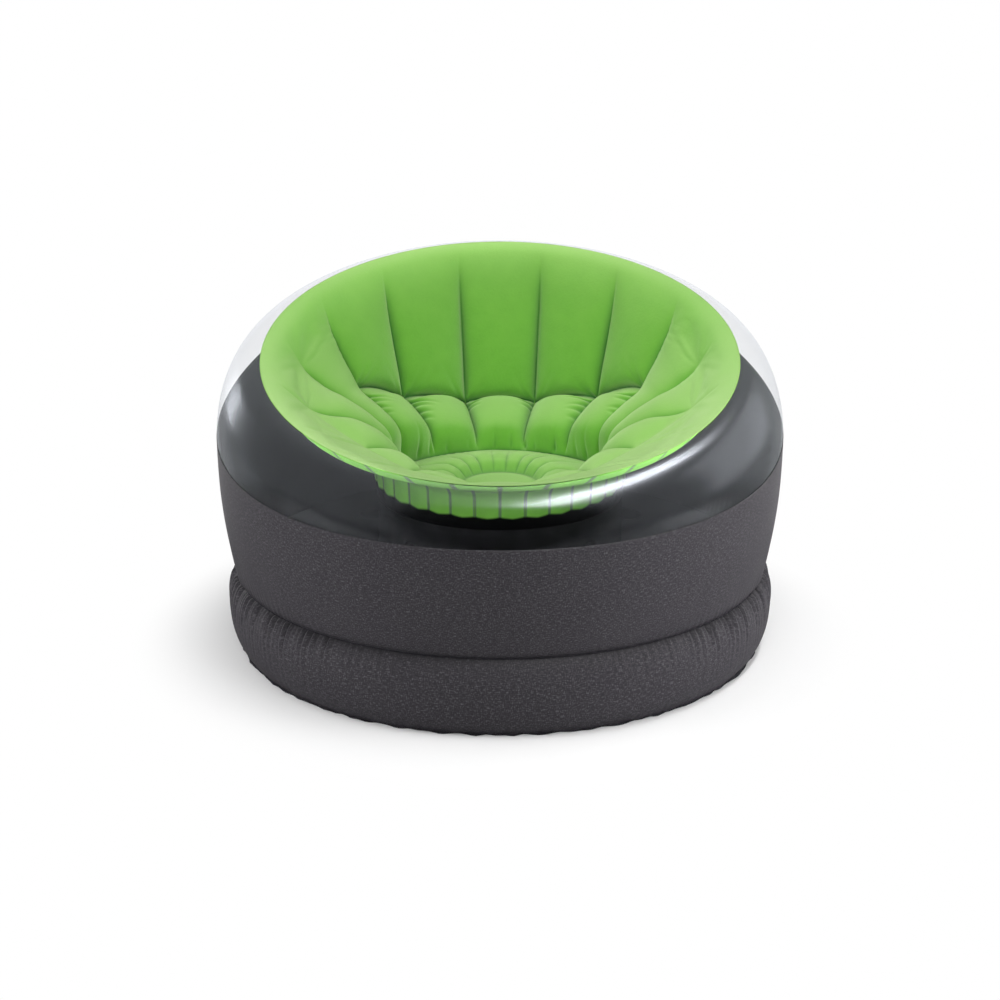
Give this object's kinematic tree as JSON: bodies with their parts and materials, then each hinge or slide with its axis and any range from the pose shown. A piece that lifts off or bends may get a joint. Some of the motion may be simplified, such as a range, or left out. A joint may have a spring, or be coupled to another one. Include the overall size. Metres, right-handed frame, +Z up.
{
  "type": "inflatable chair",
  "caption": "Round inflatable chair with a fluted flocked bucket seat, a clear upper band, a printed wall with a waist groove and a two-in-one air valve at the back.",
  "frame": {"origin": "centre of the bottom sheet, on the floor", "axes": "+Z up, -Y towards the front of the chair, +X to the right of someone who looks at its front"},
  "size_m": [1.1006, 1.1006, 0.7037],
  "materials": {
    "flocked_green": "matte",
    "clear_vinyl": "gloss",
    "heather_print": "matte",
    "black_vinyl": "satin",
    "green_vinyl": "satin",
    "milky_plastic": "satin"
  },
  "bodies": {
    "chair": {"bucket_wall": "flocked_green", "seat_panel": "flocked_green", "clear_shell": "clear_vinyl", "side_wall": "heather_print", "base_band": "heather_print", "bottom_sheet": "black_vinyl", "bucket_backing": "green_vinyl", "ring_web": "black_vinyl", "waist_web": "black_vinyl", "seat_tie_web": "black_vinyl", "flute_web_01": "green_vinyl", "flute_web_02": "green_vinyl", "flute_web_03": "green_vinyl", "flute_web_04": "green_vinyl", "flute_web_05": "green_vinyl", "flute_web_06": "green_vinyl", "flute_web_07": "green_vinyl", "flute_web_08": "green_vinyl", "flute_web_09": "green_vinyl", "flute_web_10": "green_vinyl", "flute_web_11": "green_vinyl", "flute_web_12": "green_vinyl", "flute_web_13": "green_vinyl", "flute_web_14": "green_vinyl", "flute_web_15": "green_vinyl", "flute_web_16": "green_vinyl", "valve_base": "milky_plastic"},
    "plug": {"valve_plug": "milky_plastic"},
    "cap": {"valve_cap": "milky_plastic"},
    "flap": {"valve_flap": "milky_plastic"}
  },
  "joints": [
    {"name": "plug_pull", "type": "slide", "parent": "chair", "child": "plug", "axis": [-0.0488, 0.9929, -0.1086], "range_m": [0, 0.03]},
    {"name": "cap_flip", "type": "hinge", "parent": "plug", "child": "cap", "pos_m": [-0.02646, 0.53855, 0.26594], "axis": [0.9988, 0.0491, 0], "range_deg": [0, 150]},
    {"name": "flap_open", "type": "hinge", "parent": "plug", "child": "flap", "pos_m": [-0.02583, 0.52571, 0.26151], "axis": [-0.9988, -0.0491, 0], "range_deg": [0, 55], "stiffness_Nm_per_rad": 0.00005}
  ]
}
